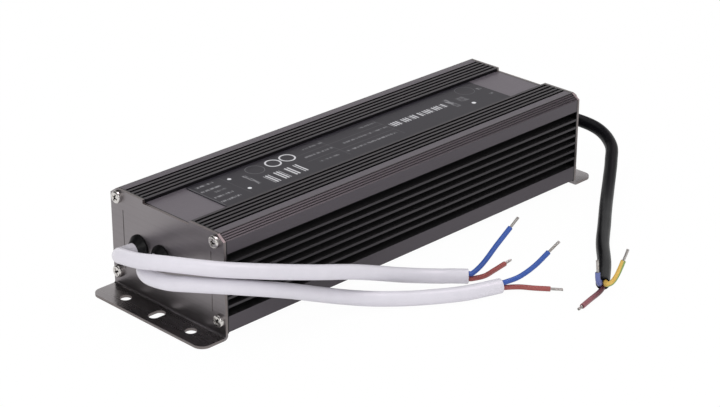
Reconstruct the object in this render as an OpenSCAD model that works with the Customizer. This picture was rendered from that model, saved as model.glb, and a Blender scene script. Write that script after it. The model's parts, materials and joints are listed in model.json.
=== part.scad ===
// Waterproof power supply: a finned aluminium extrusion closed by two bent
// steel end plates, two output cables on the left and a mains cable on the
// right. X runs along the extrusion, Z is up, and the flanges stand on Z = 0.

/* [Housing] */
// Length of the finned extrusion
housing_len = 214.6; // [206:0.2:240]
// Width of the extrusion
housing_w = 70; // [69:0.5:80]
// Height of the extrusion
housing_h = 42.9; // [42.5:0.1:50]
// Gap between the mounting surface and the underside
ground_gap = 2.6; // [2.2:0.1:4]
// Wall between the cavity and the fin roots at the sides
side_wall = 2.4; // [2:0.1:3]
// Wall between the cavity and the underside
floor_wall = 2.5; // [2:0.1:3]
// Wall between the cavity and the groove floors at the top
roof_wall = 2.3; // [2:0.1:2.8]
// Width of the recess for the label
recess_w = 28.6; // [26:0.1:30]
// Depth of the recess for the label
recess_d = 1.55; // [1:0.05:2]
// Width of the chamfer on each top corner
chamfer_w = 3.7; // [3:0.1:4]
// Height of the chamfer on each top corner
chamfer_h = 2.6; // [2:0.1:3]
// Radius of the bottom corners
bottom_r = 1; // [0.5:0.1:1.5]

/* [Side fins] */
// Number of fins on each side
side_fins = 6; // [4:1:6]
// Thickness of a side fin
side_fin_t = 1.05; // [0.8:0.05:1.4]
// Distance between side fins
side_fin_pitch = 3.8; // [3.4:0.1:4]
// Depth of the grooves between the side fins
side_fin_d = 5; // [4:0.1:5.2]
// Height of the first and the last groove
end_groove_h = 3.7; // [3:0.1:4]
// Height of the plain band under the side fins
lower_band_h = 7.4; // [7.2:0.1:8.2]

/* [Top grooves] */
// Number of grooves in each band beside the recess
top_grooves = 5; // [3:1:5]
// Width of a top groove
top_groove_w = 1.3; // [1:0.05:1.5]
// Distance between top grooves
top_groove_pitch = 2.6; // [2.3:0.05:2.7]
// Depth of a top groove
top_groove_d = 2; // [1.5:0.1:2.2]
// Width of the rib between the recess and the first groove
recess_rib = 1.4; // [1.1:0.05:1.6]
// Number of fine grooves on each chamfer
fine_grooves = 4; // [2:1:4]
// Distance from the top edge of the chamfer to the first fine groove
fine_start = 0.35; // [0.3:0.05:0.6]
// Distance between fine grooves
fine_pitch = 1.1; // [0.8:0.05:1.15]
// Width of a fine groove
fine_w = 0.5; // [0.3:0.05:0.6]
// Depth of a fine groove
fine_d = 0.3; // [0.2:0.05:0.4]

/* [End plates] */
// Thickness of the end plates
plate_t = 1.2; // [1:0.1:1.5]
// Thickness of the sealing sheets behind the end plates
gasket_t = 0.5; // [0.4:0.1:1]
// Inner radius of the bend
bend_r = 0.8; // [0.6:0.1:1.2]
// Reach of the flange beyond the outer face of the plate
flange_reach = 13; // [12:0.5:20]
// Radius of the flange corners
flange_r = 4.5; // [2:0.5:6]
// Diameter of the round mounting holes
mount_hole_d = 5; // [4:0.1:6]
// Distance from the plate to the centres of the round holes
mount_hole_out = 6; // [5:0.1:7]
// Distance between the two round holes of a flange
mount_hole_pitch = 41.2; // [30:0.2:48]
// Width of the middle slot
mount_slot_w = 5; // [4:0.1:6]
// Length of the middle slot from end to end
mount_slot_len = 7.8; // [7:0.1:9]
// Distance from the plate to the centre of the slot
mount_slot_out = 6.5; // [6.2:0.1:7]
// Distance between the two scored lines on a plate
score_pitch = 54.6; // [52:0.2:55]
// Width of a scored line
score_w = 0.5; // [0.3:0.1:0.8]
// Depth of a scored line
score_d = 0.15; // [0.1:0.05:0.3]

/* [Plate screws] */
// Diameter of the screw shanks
screw_d = 2.5; // [2.2:0.1:2.6]
// Length of the shank under the head
screw_len = 10; // [8:0.5:14]
// Diameter of the screw heads
screw_head_d = 5.2; // [4.6:0.1:5.4]
// Height of the screw heads
screw_head_h = 1.8; // [1.5:0.1:2.2]
// Clearance around a shank in its port
port_fit = 0.05; // [0.03:0.01:0.1]
// Clearance around a shank in the plate
screw_hole_fit = 0.4; // [0.2:0.1:0.6]
// Distance of the upper ports from the side
upper_port_in = 4.8; // [4.6:0.1:5.4]
// Distance of the upper ports from the top
upper_port_down = 3.4; // [3.2:0.1:3.8]
// Distance of the lower ports from the side
lower_port_in = 3.4; // [3:0.1:3.8]
// Height of the lower ports above the underside
lower_port_up = 5.2; // [4.8:0.1:5.4]

/* [Cable exits] */
// Diameter of an output cable
output_cable_d = 6.4; // [5.4:0.1:6.4]
// Diameter of the mains cable
input_cable_d = 6; // [5.4:0.1:6]
// Diameter of an insulated core
core_d = 2.2; // [1.6:0.1:2.2]
// Diameter of the bare strands of a core
strand_d = 1.5; // [1:0.1:1.5]
// Length of the bare strands
strand_len = 5.5; // [3:0.5:8]
// Bend radius of the cores inside the housing
lead_bend = 3; // [2:0.5:4]
// Distance of the cores from the middle of their cable
core_offset = 1.3; // [1.2:0.1:1.4]
// Drop of the mains cores below the middle of their cable
core_drop = 0.7; // [0.6:0.1:0.9]
// Rise of the earth core above the middle of its cable
earth_rise = 1.5; // [1.4:0.1:1.7]
// Height of the cable exits above the mounting surface
exit_z = 23; // [20:0.5:26]
// Place of the middle between the two output cables along Y
exit_mid_y = 10.5; // [0:0.5:12]
// Distance between the two output cables
exit_pitch = 14; // [13:0.5:16]
// How far the grommets reach out of the plate
grommet_nose = 3.6; // [2:0.1:6]
// Rubber around the cable at the plate
grommet_rim = 2.55; // [2:0.05:3]
// Rubber around the cable at the tip
grommet_tip = 0.35; // [0.3:0.05:1]
// Depth of the neck under the rim
grommet_neck = 1.1; // [0.8:0.1:1.4]
// Thickness of the grommet behind the sealing sheet
grommet_back = 1.5; // [1:0.1:2]
// Clearance of a cable in its grommet and of a grommet in its hole
grommet_fit = 0.1; // [0.05:0.05:0.2]

/* [Label] */
// Length of the label
label_len = 174; // [120:1:190]
// Gap between the label and the recess walls
label_gap = 0.5; // [0.3:0.1:2]
// Thickness of the label
label_t = 0.3; // [0.1:0.05:0.5]
// Radius of the label corners
label_r = 1.5; // [0.5:0.1:3]

/* [Circuit board] */
// Distance from the ends of the board to the ends of the extrusion
board_end_gap = 5.3; // [4:0.1:6]
// Thickness of the board
board_t = 1.6; // [1:0.1:2]
// Height of the board above the cavity floor
board_up = 2; // [1.8:0.1:2.4]
// Depth of the slots that hold the board
slot_d = 1.2; // [0.8:0.1:1.6]
// Clearance of the board in its slots
slot_fit = 0.1; // [0.05:0.05:0.2]
// Thickness of the insulating sheet under the board
sheet_t = 0.4; // [0.2:0.1:0.8]
// Height of the potting compound above the board
potting_up = 6; // [4:0.5:8]
// Clearance of the potting compound round the parts in it
potting_fit = 0.2; // [0.1:0.05:0.3]

/* [Board parts] */
// Diameter of a bulk capacitor
bulk_cap_d = 18; // [14:1:18]
// Room between the bulk capacitors and the roof of the cavity
bulk_cap_room = 2.5; // [2:0.1:8]
// Diameter of an output capacitor
output_cap_d = 12.5; // [10:0.5:12.5]
// Height of an output capacitor
output_cap_h = 25; // [16:1:28]
// Length of the transformer core
core_len = 35; // [28:1:38]
// Room between the transformer core and the roof of the cavity
core_room = 1.5; // [0.5:0.1:5]
// Width of the transformer core
core_w = 14; // [11:0.5:15]
// Outer diameter of the filter choke core
choke_d = 26; // [22:1:28]
// Height of the filter choke core
choke_h = 9; // [8:0.5:10]
// Diameter of the choke wire
choke_wire_d = 1.1; // [0.8:0.1:1.2]
// Length of the heat bars
bar_len = 44; // [36:1:50]
// Thickness of the heat bars
bar_t = 4; // [3:0.5:5]
// Height of the heat bars
bar_h = 22; // [20:0.5:26]

/* [Hidden] */
$fn = 48;
eps = 0.01;

// Levels and ends
floor_z = ground_gap;
top_z = ground_gap + housing_h;
half_w = housing_w / 2;
end_x = housing_len / 2;
web_x = end_x + gasket_t;
face_x = web_x + plate_t;
recess_z = top_z - recess_d;

// Cavity and board slots
cavity_half_w = half_w - side_fin_d - side_wall;
cavity_z = floor_z + floor_wall;
cavity_top_z = top_z - top_groove_d - roof_wall;
cavity_r = 1;
board_z = cavity_z + board_up;
board_top = board_z + board_t;
board_half_w = cavity_half_w + slot_d - slot_fit;

// Screw ports, as [y, z] on the positive side
upper_port = [half_w - upper_port_in, top_z - upper_port_down];
lower_port = [half_w - lower_port_in, floor_z + lower_port_up];
ports = [for (s = [-1, 1], p = [upper_port, lower_port]) [s * p[0], p[1]]];

// Cable exits along Y
left_exit_y = exit_mid_y + exit_pitch / 2;
right_exit_y = exit_mid_y - exit_pitch / 2;
input_exit_y = 0;

function from_output_plate(points) = [for (p = points) p - [face_x, 0, 0]];
function from_input_plate(points) = [for (p = points) p + [face_x, 0, 0]];

// Cable routes, from the cut sheath in the housing to the cut end, with X from
// the outer face of the end plate that the cable leaves
upper_route = from_output_plate([
    [7, left_exit_y, exit_z], [-3.5, left_exit_y, exit_z],
    [-9.5, 16, 24], [-16, 12, 27],
    [-20.5, 5, 30.5], [-22, -7.5, 33.5], [-19.5, -17.5, 35.5],
    [-13.5, -29, 36], [-5.5, -37, 34.5], [4, -42, 32],
    [20, -46.5, 27.5], [37, -49.5, 22.5], [54, -51.5, 17.5],
    [69, -52.5, 12], [79.5, -53.5, 8], [90, -56, 4.8],
    [99, -61, 3.2], [106.5, -68.5, 3.2]
]);
lower_route = from_output_plate([
    [7, right_exit_y, exit_z], [-3.5, right_exit_y, exit_z],
    [-8, 2, 23.7], [-14, -2.5, 25],
    [-18, -10.5, 26], [-17.5, -21, 27], [-13.5, -29, 27.6],
    [-6.5, -36, 27], [1.5, -40.5, 25.2], [10.5, -43, 22.3],
    [26, -44.7, 16.3], [41.5, -47.3, 10], [51.5, -50.5, 6.5],
    [61, -55.5, 4.2], [70, -62, 3.3], [79, -69, 3.2],
    [93.5, -78, 3.2], [109.5, -84, 3.2]
]);
input_route = from_input_plate([
    [-7, input_exit_y, exit_z], [3.5, input_exit_y, exit_z],
    [12, -0.5, 22], [20.5, -3.5, 20.5],
    [28, -11.5, 18.5], [30.5, -23.5, 16], [25.5, -35, 13],
    [16, -43, 10], [5.5, -50.5, 7], [-4.5, -57.5, 4.7],
    [-15, -65, 3.4], [-30.5, -76.5, 3], [-46, -88, 3],
    [-60.5, -100.5, 3], [-76.5, -112.5, 3]
]);

// Core routes, from the cut end of the sheath to the cut insulation
upper_blue_route = from_output_plate([
    [106.5, -68.5, 4.4], [107.5, -69.5, 4.4], [112, -71.3, 8],
    [118, -73.6, 15.5], [125, -75, 22]
]);
upper_brown_route = from_output_plate([
    [106.5, -68.5, 2], [107.5, -69.5, 2], [114, -70.8, 1.5],
    [121, -69.8, 1.2], [129.5, -68.7, 1.2]
]);
lower_blue_route = from_output_plate([
    [109.5, -84, 4.4], [111.1, -84.6, 4.4], [117.5, -87, 5.6],
    [124, -89.4, 9], [131, -91.3, 14]
]);
lower_brown_route = from_output_plate([
    [109.5, -84, 2], [111.1, -84.6, 2], [117, -88, 1.4],
    [120.7, -92.6, 1.2], [125, -98, 1.2]
]);
input_blue_route = from_input_plate([
    [-77.25, -111.5, 3.65], [-78.45, -112.4, 3.65], [-80.2, -113.3, 4.8],
    [-81.2, -113.4, 7], [-81.1, -113, 10]
]);
input_brown_route = from_input_plate([
    [-76.5, -112.5, 1.65], [-77.7, -113.4, 1.65], [-82, -114.8, 1.5],
    [-87.5, -115.7, 1.3], [-96, -117.4, 1.2]
]);
input_earth_route = from_input_plate([
    [-75.75, -113.5, 3.65], [-76.95, -114.4, 3.65], [-77.5, -115.8, 4.2],
    [-76.4, -117.1, 5.2], [-73.6, -117.2, 7.2], [-71, -117, 10],
    [-69.6, -117.3, 13]
]);

// Where the cores stand on the board, from the start of their cable
lead_run = 5;
earth_run = 9;

// Sizes of the bought-in board parts
pad_t = 0.5;
seat_fit = 0.1;
fuse_len = 20;
fuse_glass_d = 5;
fuse_cap_d = 5.3;
fuse_cap_len = 5;
clip_t = 0.5;
disc_lead_d = 0.8;
disc_lift = 3;
varistor_size = [14, 4.6];
thermistor_size = [11, 5];
suppression_size = [8, 4];
filter_cap_size = [10, 18, 16];
bridge_size = [22, 3.6, 18];
bridge_lift = 3;
choke_hole_d = 13;
choke_turns = 8;
choke_step = 15;
output_choke_d = 22;
output_choke_hole_d = 11;
output_choke_h = 10;
output_wire_d = 1.4;
output_turns = 12;
output_step = 26;
core_leg = 5;
core_mid = 10;
core_lift = 3;
core_split = 0.1;
bobbin_wall = 1;
bobbin_rim = 6;
package_w = 10.2;
package_t = 4.5;
package_h = 9.2;
package_lift = 4;
tab_t = 1.3;
tab_h = 6.4;
tab_hole_d = 3.6;
tab_hole_down = 2.8;
package_pitch = 16;
tab_screw_d = 3;
tab_screw_len = 4.5;
tab_screw_head_d = 5;
tab_screw_head_h = 1.8;
chip_w = 6.4;
chip_h = 3.3;
chip_lift = 0.5;
pin_pitch = 2.54;
output_cap_pitch = 14;

// The large parts stand in a row along the board, from the output end to the
// mains end, with equal gaps between them
lead_zone = 10.5;
disc_zone = 11;
disc_pitch = 6;
disc_from_wall = 10.6;
fuse_from_end = 15;
fuse_from_wall = 9.6;
bridge_from_wall = 7.6;
chip_pitch = 16;
chip_y = 19;
choke_span = choke_d + 2 * (choke_wire_d + seat_fit);
output_choke_span = output_choke_d + 2 * (output_wire_d + seat_fit);
board_len = housing_len - 2 * board_end_gap;
board_end = board_len / 2;
row = [lead_zone, output_cap_d, output_choke_span, core_len, bulk_cap_d,
       choke_span, filter_cap_size[0], disc_zone, lead_zone];
function total(v, n) = n > 0 ? v[n - 1] + total(v, n - 1) : 0;
row_gap = (board_len - total(row, len(row))) / (len(row) - 1);
function row_x(i) = -board_end + total(row, i) + i * row_gap + row[i] / 2;

// Places of the parts along X and Y; what lies near a wall follows that wall
output_cap_at = [for (y = fan(-3, 3, output_cap_pitch)) [row_x(1), y]];
output_choke_at = [row_x(2), -7];
output_bar_x = row_x(2);
transformer_at = [row_x(3), 0];
primary_bar_x = row_x(3);
controller_at = [row_x(3) + chip_pitch / 2, chip_y];
optocoupler_at = [row_x(3) - chip_pitch / 2, chip_y];
bulk_cap_at = [for (y = fan(0, 2, bulk_cap_d + 1)) [row_x(4), y]];
choke_at = [row_x(5), -6];
bridge_at = [row_x(5), cavity_half_w - bridge_from_wall];
filter_cap_at = [row_x(6), 12];
suppression_at = [[row_x(6), -6], [(row_x(3) + row_x(4)) / 2 + (core_len - bulk_cap_d) / 4, 16]];
thermistor_at = [row_x(7) - disc_pitch / 2, disc_from_wall - cavity_half_w];
varistor_at = [row_x(7) + disc_pitch / 2, disc_from_wall - cavity_half_w];
fuse_at = [board_end - fuse_from_end, cavity_half_w - fuse_from_wall];
foot_x = input_route[0][0] - lead_run;
earth_foot_x = input_route[0][0] - earth_run;

// Worked out from the sizes above
tab_hole_z = board_top + package_lift + package_h + tab_h - tab_hole_down;
bar_face_y = cavity_half_w - pad_t - bar_t;
yoke_z = board_top + core_lift;
core_h = cavity_top_z - core_room - yoke_z;
bulk_cap_h = cavity_top_z - bulk_cap_room - board_top;
window_w = (core_len - core_mid) / 2 - core_leg;
bobbin_x = core_mid + 2 * window_w - 2 * seat_fit;
bobbin_y = core_w + 2 * bobbin_rim;
winding_z = yoke_z + core_leg + seat_fit + bobbin_wall;
winding_h = core_h - 2 * (core_leg + seat_fit + bobbin_wall);

// Helpers for the swept cords
function unit(v) = v / norm(v);
function tangent(route, i) =
    unit(route[min(i + 1, len(route) - 1)] - route[max(i - 1, 0)]);
function first_side(t) = unit(cross(t, [0, 0, 1]));
function flatten_on(v, t) = unit(v - (v * t) * t);
function ring_sides(route) = [
    for (i = 0, s = first_side(tangent(route, 0)); i < len(route);
         i = i + 1, s = flatten_on(s, tangent(route, min(i, len(route) - 1)))) s
];
function tube_points(route, r, n) = let (s = ring_sides(route)) [
    for (i = [0:len(route) - 1], k = [0:n - 1])
        let (t = tangent(route, i), a = 360 * k / n)
        route[i] + r * (cos(a) * s[i] + sin(a) * cross(t, s[i]))
];
function tube_faces(rings, n) = concat(
    [[for (k = [0:n - 1]) k]],
    [for (i = [0:rings - 2], k = [0:n - 1])
        [i * n + k, (i + 1) * n + k, (i + 1) * n + (k + 1) % n, i * n + (k + 1) % n]],
    [[for (k = [n - 1:-1:0]) (rings - 1) * n + k]]
);
module tube(route, d, sides) {
    polyhedron(tube_points(route, d / 2, sides), tube_faces(len(route), sides));
}
module rod(a, b, d) {
    v = b - a;
    translate(a)
        rotate([0, acos(v[2] / norm(v)), atan2(v[1], v[0])])
            cylinder(d = d, h = norm(v));
}

// Drawing in the section plane: 2D x is Y of the part and 2D y is Z
module along_x(from, to) {
    translate([from, 0, 0])
        rotate([90, 0, 90])
            linear_extrude(to - from) children();
}
module both_sides() {
    children();
    mirror([1, 0]) children();
}
module outline() {
    difference() {
        translate([-half_w, floor_z]) square([housing_w, housing_h]);
        both_sides()
            polygon([
                [half_w - chamfer_w, top_z], [half_w + eps, top_z + eps],
                [half_w, top_z - chamfer_h]
            ]);
        translate([-recess_w / 2, recess_z]) square([recess_w, recess_d + eps]);
    }
}
module port_holes(d) {
    for (p = ports) translate(p) circle(d = d);
}

// Finned extrusion
module bottom_corner_cut() {
    translate([half_w - bottom_r, floor_z])
        difference() {
            translate([0, -eps]) square([bottom_r + eps, bottom_r + eps]);
            translate([0, bottom_r]) circle(r = bottom_r);
        }
}
module side_groove_field() {
    field_z = floor_z + lower_band_h;
    field_h = 2 * end_groove_h + (side_fins - 1) * side_fin_pitch + side_fin_t;
    difference() {
        translate([half_w - side_fin_d, field_z]) square([side_fin_d + eps, field_h]);
        for (i = [0:side_fins - 1])
            translate([half_w - side_fin_d - eps, field_z + end_groove_h + i * side_fin_pitch])
                square([side_fin_d + 3 * eps, side_fin_t]);
    }
}
module top_groove_band() {
    first_y = recess_w / 2 + recess_rib;
    for (i = [0:top_grooves - 1])
        translate([first_y + i * top_groove_pitch, top_z - top_groove_d])
            square([top_groove_w, top_groove_d + eps]);
}
module fine_groove_band() {
    translate([half_w - chamfer_w, top_z])
        rotate(-atan2(chamfer_h, chamfer_w))
            for (i = [0:fine_grooves - 1])
                translate([fine_start + i * fine_pitch, 0])
                    polygon([[-fine_w / 2, eps], [0, -fine_d], [fine_w / 2, eps]]);
}
module board_slot() {
    translate([cavity_half_w - eps, board_z - slot_fit])
        square([slot_d + eps, board_t + 2 * slot_fit]);
}
module housing() {
    color("dimgray")
        along_x(-end_x, end_x)
            difference() {
                outline();
                both_sides() {
                    bottom_corner_cut();
                    side_groove_field();
                    top_groove_band();
                    fine_groove_band();
                    board_slot();
                }
                translate([-cavity_half_w, cavity_z])
                    square([2 * cavity_half_w, cavity_top_z - cavity_z]);
                port_holes(screw_d + 2 * port_fit);
            }
}

// Bent end plates
module sheet_profile() {
    outer_r = bend_r + plate_t;
    translate([-face_x, outer_r]) square([plate_t, top_z - outer_r]);
    translate([-face_x - flange_reach, 0]) square([flange_reach - bend_r, plate_t]);
    translate([-face_x - bend_r, outer_r])
        intersection() {
            difference() {
                circle(r = outer_r);
                circle(r = bend_r);
            }
            translate([0, -outer_r]) square(outer_r);
        }
}
module flange_corner_cut() {
    translate([-face_x - flange_reach, half_w - flange_r, -eps])
        difference() {
            translate([-eps, 0, 0]) cube([flange_r + eps, flange_r + eps, plate_t + 2 * eps]);
            translate([flange_r, 0, -eps]) cylinder(r = flange_r, h = plate_t + 4 * eps);
        }
}
module top_corner_cut() {
    along_x(-face_x - eps, -web_x + eps)
        polygon([
            [half_w - chamfer_w, top_z], [half_w - chamfer_w, top_z + 1],
            [half_w + 1, top_z + 1], [half_w + 1, top_z - chamfer_h],
            [half_w, top_z - chamfer_h]
        ]);
}
module mount_holes() {
    for (s = [-1, 1])
        translate([-face_x - mount_hole_out, s * mount_hole_pitch / 2, -eps])
            cylinder(d = mount_hole_d, h = plate_t + 2 * eps);
    half_run = (mount_slot_len - mount_slot_w) / 2;
    translate([-face_x - mount_slot_out, 0, -eps]) {
        for (s = [-1, 1])
            translate([s * half_run, 0, 0])
                cylinder(d = mount_slot_w, h = plate_t + 2 * eps);
        translate([-half_run, -mount_slot_w / 2, 0])
            cube([2 * half_run, mount_slot_w, plate_t + 2 * eps]);
    }
}
module scored_lines() {
    for (s = [-1, 1])
        translate([-face_x - eps, s * score_pitch / 2 - score_w / 2, lower_port[1] + screw_head_d / 2])
            cube([score_d + eps, score_w, upper_port[1] - lower_port[1] - 1.5 * screw_head_d]);
}
module end_plate(exits, cable_d) {
    difference() {
        translate([0, half_w, 0]) rotate([90, 0, 0]) linear_extrude(housing_w) sheet_profile();
        for (m = [0, 1]) mirror([0, m, 0]) {
            flange_corner_cut();
            top_corner_cut();
        }
        along_x(-face_x - eps, -web_x + eps) {
            translate([-recess_w / 2, recess_z]) square([recess_w, recess_d + 1]);
            port_holes(screw_d + 2 * screw_hole_fit);
            exit_holes(exits, cable_d);
        }
        mount_holes();
        scored_lines();
    }
}
module output_end_plate() {
    color("silver") end_plate([left_exit_y, right_exit_y], output_cable_d);
}
module input_end_plate() {
    color("silver") mirror([1, 0, 0]) end_plate([input_exit_y], input_cable_d);
}

// Sealing sheets between the plates and the extrusion
module exit_holes(exits, cable_d) {
    for (y = exits)
        translate([y, exit_z]) circle(r = cable_d / 2 + grommet_rim - grommet_neck + grommet_fit);
}
module gasket(exits, cable_d) {
    along_x(-web_x, -end_x)
        difference() {
            outline();
            port_holes(screw_d + 2 * screw_hole_fit);
            exit_holes(exits, cable_d);
        }
}
module output_gasket() {
    color("#202020") gasket([left_exit_y, right_exit_y], output_cable_d);
}
module input_gasket() {
    color("#202020") mirror([1, 0, 0]) gasket([input_exit_y], input_cable_d);
}

// Pan head screws of the end plates
module pan_head(d, h) {
    edge_h = h / 2;
    crown_r = ((d / 2) * (d / 2) + (h - edge_h) * (h - edge_h)) / (2 * (h - edge_h));
    difference() {
        intersection() {
            cylinder(d = d, h = h);
            translate([0, 0, h - crown_r]) sphere(r = crown_r, $fn = 96);
        }
        for (a = [0, 90])
            rotate(a) translate([-d * 0.3, -d * 0.07, h * 0.45]) cube([d * 0.6, d * 0.14, h]);
    }
}
module plate_screw() {
    rotate([0, -90, 0]) pan_head(screw_head_d, screw_head_h);
    rotate([0, 90, 0]) translate([0, 0, -eps]) cylinder(d = screw_d, h = screw_len + eps);
}
module plate_screws() {
    for (p = ports) translate([-face_x, p[0], p[1]]) plate_screw();
}
module output_plate_screws() {
    color("gainsboro") plate_screws();
}
module input_plate_screws() {
    color("gainsboro") mirror([1, 0, 0]) plate_screws();
}

// Rubber grommets
module grommet(y, cable_d) {
    bore_r = cable_d / 2 + grommet_fit;
    rim_r = cable_d / 2 + grommet_rim;
    neck_r = rim_r - grommet_neck;
    stack = plate_t + gasket_t;
    translate([-face_x, y, exit_z])
        rotate([0, -90, 0])
            rotate_extrude()
                polygon([
                    [bore_r, grommet_nose], [cable_d / 2 + grommet_tip, grommet_nose],
                    [rim_r, 0.6], [rim_r, 0], [neck_r, 0], [neck_r, -stack],
                    [rim_r, -stack], [rim_r, -stack - grommet_back],
                    [bore_r, -stack - grommet_back]
                ]);
}
module left_output_grommet() {
    color("#181818") grommet(left_exit_y, output_cable_d);
}
module right_output_grommet() {
    color("#181818") grommet(right_exit_y, output_cable_d);
}
module input_grommet() {
    color("#181818") mirror([1, 0, 0]) grommet(input_exit_y, input_cable_d);
}

// Printed label in the recess
module rating_label() {
    half_l = label_len / 2 - label_r;
    half_y = recess_w / 2 - label_gap - label_r;
    color("#4a4a4c")
        translate([0, 0, recess_z])
            linear_extrude(label_t) {
                for (x = [-1, 1], y = [-1, 1])
                    translate([x * half_l, y * half_y]) circle(r = label_r);
                square([2 * half_l, 2 * (half_y + label_r)], center = true);
                square([2 * (half_l + label_r), 2 * half_y], center = true);
            }
}

// Cables, cores and strands
module output_cable_upper() {
    color("gainsboro") tube(upper_route, output_cable_d, 12);
}
module output_cable_lower() {
    color("gainsboro") tube(lower_route, output_cable_d, 12);
}
module input_cable() {
    color("#282828") tube(input_route, input_cable_d, 12);
}
module upper_core_blue() {
    color("royalblue") tube(upper_blue_route, core_d, 8);
}
module upper_core_brown() {
    color("brown") tube(upper_brown_route, core_d, 8);
}
module lower_core_blue() {
    color("royalblue") tube(lower_blue_route, core_d, 8);
}
module lower_core_brown() {
    color("brown") tube(lower_brown_route, core_d, 8);
}
module input_core_blue() {
    color("royalblue") tube(input_blue_route, core_d, 8);
}
module input_core_brown() {
    color("brown") tube(input_brown_route, core_d, 8);
}
module input_core_earth() {
    color("gold") tube(input_earth_route, core_d, 8);
}
module strands(routes, lengths) {
    color("silver")
        for (i = [0:len(routes) - 1]) {
            end = routes[i][len(routes[i]) - 1];
            rod(end, end + lengths[i] * tangent(routes[i], len(routes[i]) - 1), strand_d);
        }
}
module upper_strands() {
    strands([upper_blue_route, upper_brown_route], [strand_len, strand_len]);
}
module lower_strands() {
    strands([lower_blue_route, lower_brown_route], [strand_len, strand_len]);
}
module input_strands() {
    strands([input_blue_route, input_brown_route, input_earth_route],
            [strand_len, strand_len, strand_len]);
}

// Cores inside the housing: out of the sheath, round a bend and down to the board
module inner_lead(start, x) {
    bend = lead_bend;
    top = start[2] - bend;
    run = abs(start[0]) - x;
    reach = run - bend;
    translate([start[0], start[1], 0])
        mirror([start[0] > 0 ? 1 : 0, 0, 0]) {
            translate([0, 0, start[2]]) rotate([0, 90, 0]) cylinder(d = core_d, h = reach);
            translate([reach, 0, top])
                rotate([90, 0, 0])
                    rotate_extrude(angle = 90) translate([bend, 0]) circle(d = core_d);
            translate([run, 0, board_top]) cylinder(d = core_d, h = top - board_top);
        }
}
module inner_leads(side) {
    for (route = [upper_route, lower_route])
        inner_lead(route[0] + [0, side * core_offset, 0], foot_x);
    inner_lead(input_route[0] + [0, side * core_offset, -core_drop], foot_x);
}
module inner_leads_blue() {
    color("royalblue") inner_leads(1);
}
module inner_leads_brown() {
    color("brown") inner_leads(-1);
}
module inner_lead_earth() {
    color("gold") inner_lead(input_route[0] + [0, 0, earth_rise], earth_foot_x);
}

// Board and what lies under and over it
module plate_of(size_x, size_y, z, t) {
    translate([-size_x / 2, -size_y / 2, z]) cube([size_x, size_y, t]);
}
module circuit_board() {
    color("darkgreen") plate_of(board_len, 2 * board_half_w, board_z, board_t);
}
module insulating_sheet() {
    color("ivory") plate_of(board_len, 2 * (cavity_half_w - seat_fit), cavity_z, sheet_t);
}
round_places = concat(
    [for (p = bulk_cap_at) [p, bulk_cap_d]],
    [for (p = output_cap_at) [p, output_cap_d]],
    [[[earth_foot_x, input_exit_y], core_d],
     [choke_at, choke_span],
     [output_choke_at, output_choke_span]]
);
lead_pair = [core_d, core_d + 2 * core_offset];
square_places = [
    [[-foot_x, left_exit_y], lead_pair],
    [[-foot_x, right_exit_y], lead_pair],
    [[foot_x, input_exit_y], lead_pair],
    [fuse_at, [fuse_len, fuse_cap_d + 2 * clip_t + 2 * seat_fit]],
    [varistor_at, [varistor_size[1], varistor_size[0]]],
    [thermistor_at, [thermistor_size[1], thermistor_size[0]]],
    [suppression_at[0], [suppression_size[1], suppression_size[0]]],
    [suppression_at[1], [suppression_size[1], suppression_size[0]]],
    [filter_cap_at, [filter_cap_size[0], filter_cap_size[1]]],
    [bridge_at, [bridge_size[0], bridge_size[1]]],
    [transformer_at, [core_len, bobbin_y]],
    [controller_at, [4 * pin_pitch, chip_w + pin_pitch]],
    [optocoupler_at, [2 * pin_pitch, chip_w + pin_pitch]]
];
module bar_place(x) {
    translate([x - bar_len / 2 - 1 - potting_fit, bar_face_y - package_t - potting_fit])
        square([bar_len + 2 + 2 * potting_fit, bar_t + pad_t + package_t + 1]);
}
module potting_compound() {
    half_y = cavity_half_w - seat_fit;
    color("#3c3c3c")
        translate([0, 0, board_top])
            linear_extrude(potting_up)
                difference() {
                    square([board_len, 2 * half_y], center = true);
                    for (p = round_places) translate(p[0]) circle(d = p[1] + 2 * potting_fit);
                    for (p = square_places)
                        translate(p[0])
                            square(p[1] + [2, 2] * potting_fit, center = true);
                    mirror([0, 1]) bar_place(primary_bar_x);
                    bar_place(output_bar_x);
                }
}

// Mains fuse and its clips
module on_board(place) {
    translate([place[0], place[1], board_top]) children();
}
module mains_fuse() {
    axis_z = clip_t + seat_fit + fuse_cap_d / 2;
    color("gainsboro")
        on_board(fuse_at)
            translate([-fuse_len / 2, 0, axis_z])
                rotate([0, 90, 0]) {
                    cylinder(d = fuse_glass_d, h = fuse_len);
                    for (x = [0, fuse_len - fuse_cap_len])
                        translate([0, 0, x]) cylinder(d = fuse_cap_d, h = fuse_cap_len);
                }
}
module fuse_clips() {
    inner = fuse_cap_d + 2 * seat_fit;
    color("goldenrod")
        for (s = [-1, 1])
            on_board(fuse_at)
                translate([s * (fuse_len - fuse_cap_len) / 2, 0, 0])
                    rotate([90, 0, 90])
                        linear_extrude(fuse_cap_len - 1, center = true)
                            difference() {
                                translate([-inner / 2 - clip_t, 0])
                                    square([inner + 2 * clip_t, clip_t + inner]);
                                translate([-inner / 2, clip_t]) square([inner, inner + 1]);
                            }
}

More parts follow.
